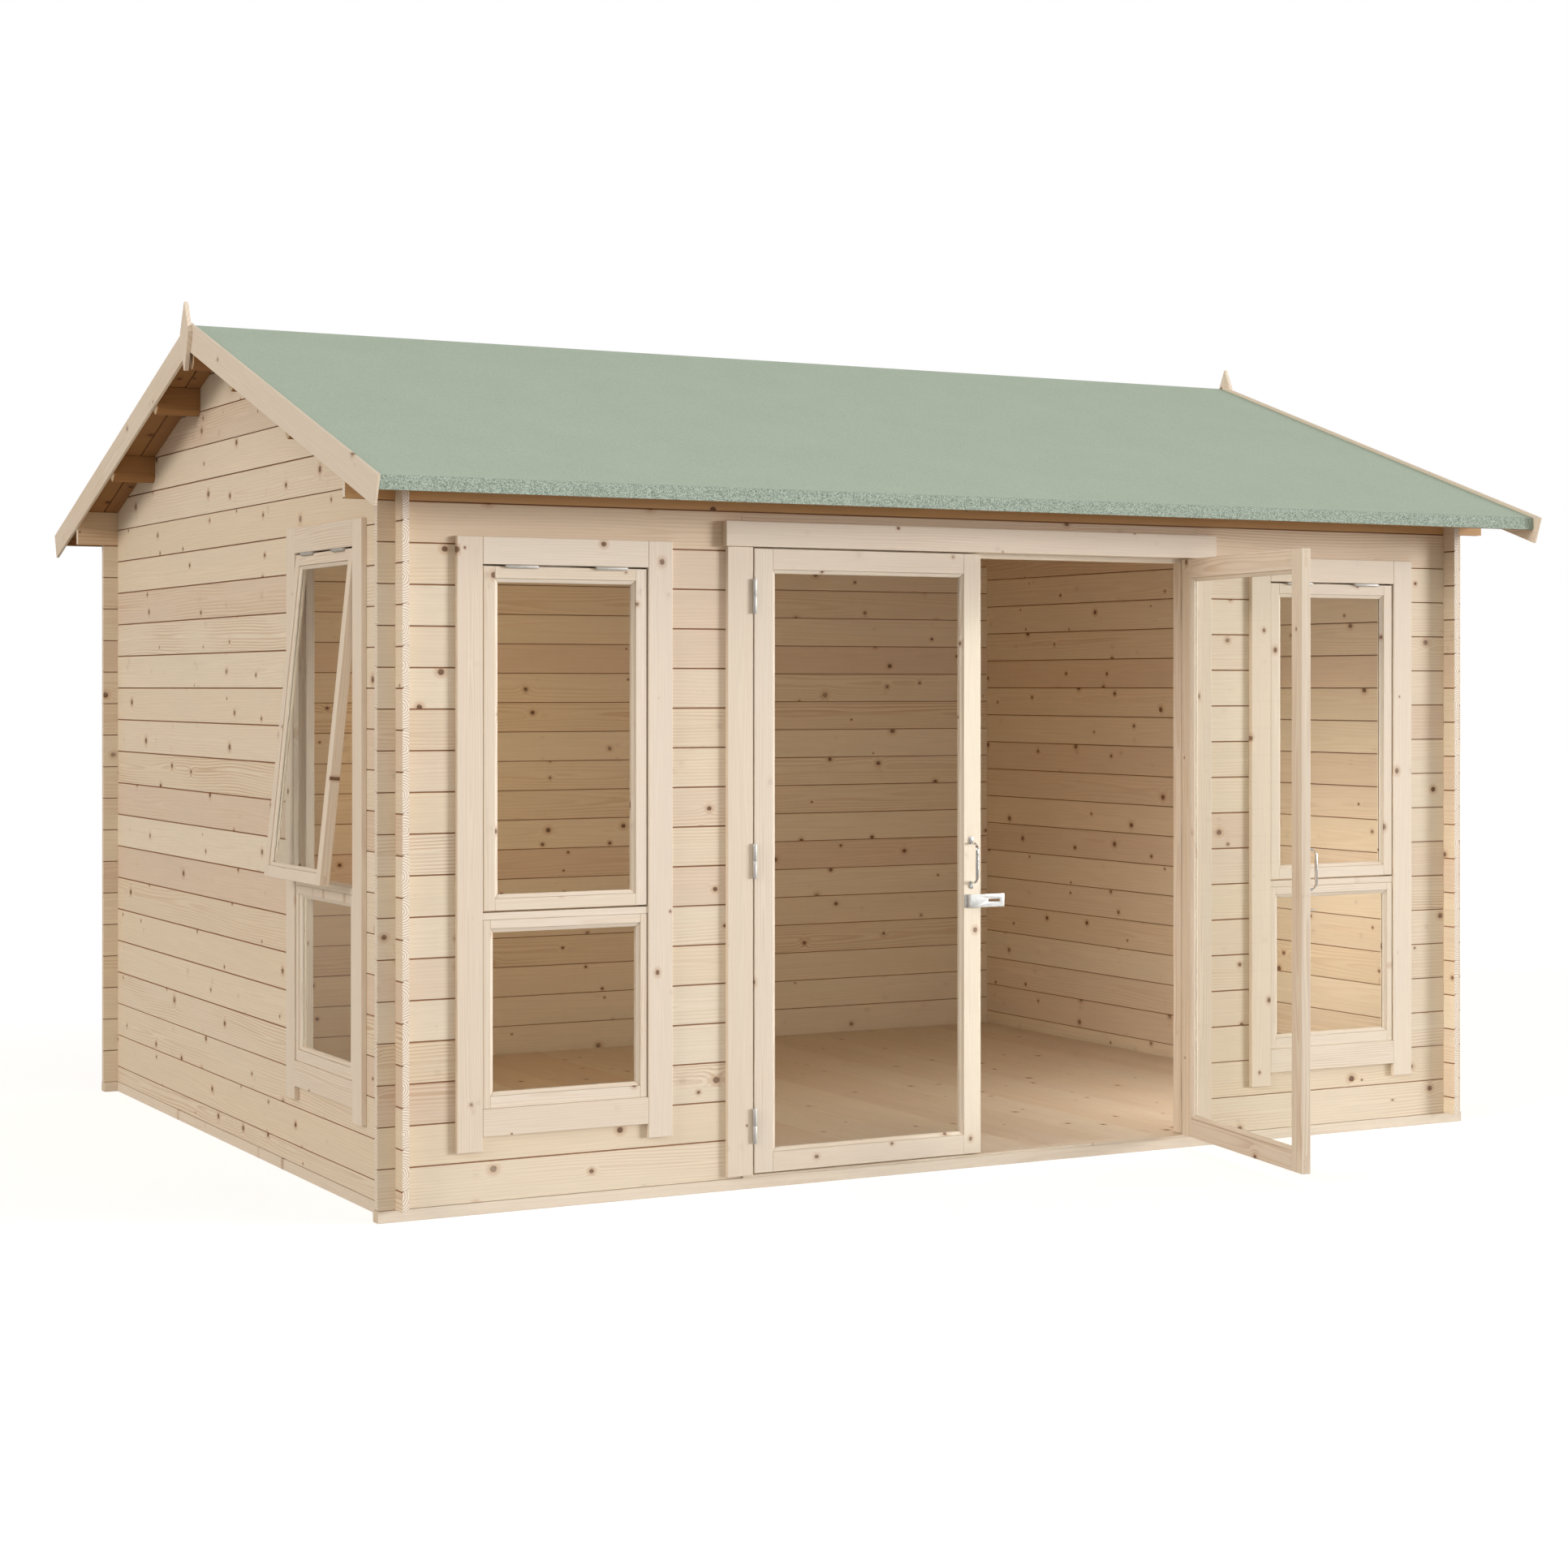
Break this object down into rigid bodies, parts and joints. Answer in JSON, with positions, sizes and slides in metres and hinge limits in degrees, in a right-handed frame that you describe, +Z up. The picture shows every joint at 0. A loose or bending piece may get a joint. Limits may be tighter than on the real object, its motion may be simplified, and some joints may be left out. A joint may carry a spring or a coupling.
{
  "type": "log cabin",
  "caption": "Garden log cabin with interlocking tongue-and-groove log walls, felted apex roof on purlins, paired glazed doors and top-hung windows.",
  "frame": {"origin": "on the ground at the middle of the plan, on the underside of the middle floor joist", "axes": "+X along the front to the right, +Y from the front to the back, +Z up"},
  "size_m": [4.112, 3.9733, 2.6985],
  "materials": {
    "log_timber": "untreated planed spruce logs with small knots",
    "planed_timber": "untreated planed spruce",
    "floor_timber": "untreated softwood boards",
    "roof_timber": "untreated softwood boards and purlins",
    "roof_felt": "green mineral-faced bitumen felt",
    "clear_glass": "clear glazing",
    "zinc_steel": "zinc-plated steel",
    "chrome_handle": "bright plated"
  },
  "bodies": {
    "cabin": {"front_wall_left_logs": "log_timber", "front_wall_right_logs": "log_timber", "front_wall_top_logs": "log_timber", "back_wall_logs": "log_timber", "left_wall_logs": "log_timber", "right_wall_logs": "log_timber", "left_gable_logs": "log_timber", "right_gable_logs": "log_timber", "left_barge_boards": "planed_timber", "right_barge_boards": "planed_timber", "finials": "planed_timber", "door_frame": "planed_timber", "door_trim": "planed_timber", "left_front_window_frame": "planed_timber", "left_front_window_sash": "planed_timber", "left_front_window_trim": "planed_timber", "right_front_window_frame": "planed_timber", "right_front_window_sash": "planed_timber", "right_front_window_trim": "planed_timber", "side_window_frame": "planed_timber", "side_window_sash": "planed_timber", "side_window_trim": "planed_timber", "floor_joists": "floor_timber", "floor_boards": "floor_timber", "foundation_bearers": "floor_timber", "door_threshold": "floor_timber", "roof_purlins": "roof_timber", "front_roof_boards": "roof_timber", "back_roof_boards": "roof_timber", "eaves_battens": "roof_timber", "front_roof_felt": "roof_felt", "back_roof_felt": "roof_felt", "door_frame_hinge_plates": "zinc_steel", "window_hinges": "zinc_steel", "left_front_window_glass": "clear_glass", "right_front_window_glass": "clear_glass", "side_window_glass": "clear_glass"},
    "left_door": {"left_door_leaf": "planed_timber", "left_door_glass": "clear_glass", "left_door_handle": "chrome_handle", "left_door_hasp": "zinc_steel", "left_door_hinge_plates": "zinc_steel"},
    "right_door": {"right_door_leaf": "planed_timber", "right_door_glass": "clear_glass", "right_door_handle": "chrome_handle", "right_door_staple": "zinc_steel", "right_door_hinge_plates": "zinc_steel"}
  },
  "joints": [
    {"name": "left_door_swing", "type": "hinge", "parent": "cabin", "child": "left_door", "pos_m": [-0.7795, -1.471, 0.963], "axis": [0, 0, -1], "range_deg": [0, 165]},
    {"name": "right_door_swing", "type": "hinge", "parent": "cabin", "child": "right_door", "pos_m": [0.7975, -1.471, 0.963], "axis": [0, 0, 1], "range_deg": [-80, 85]}
  ]
}
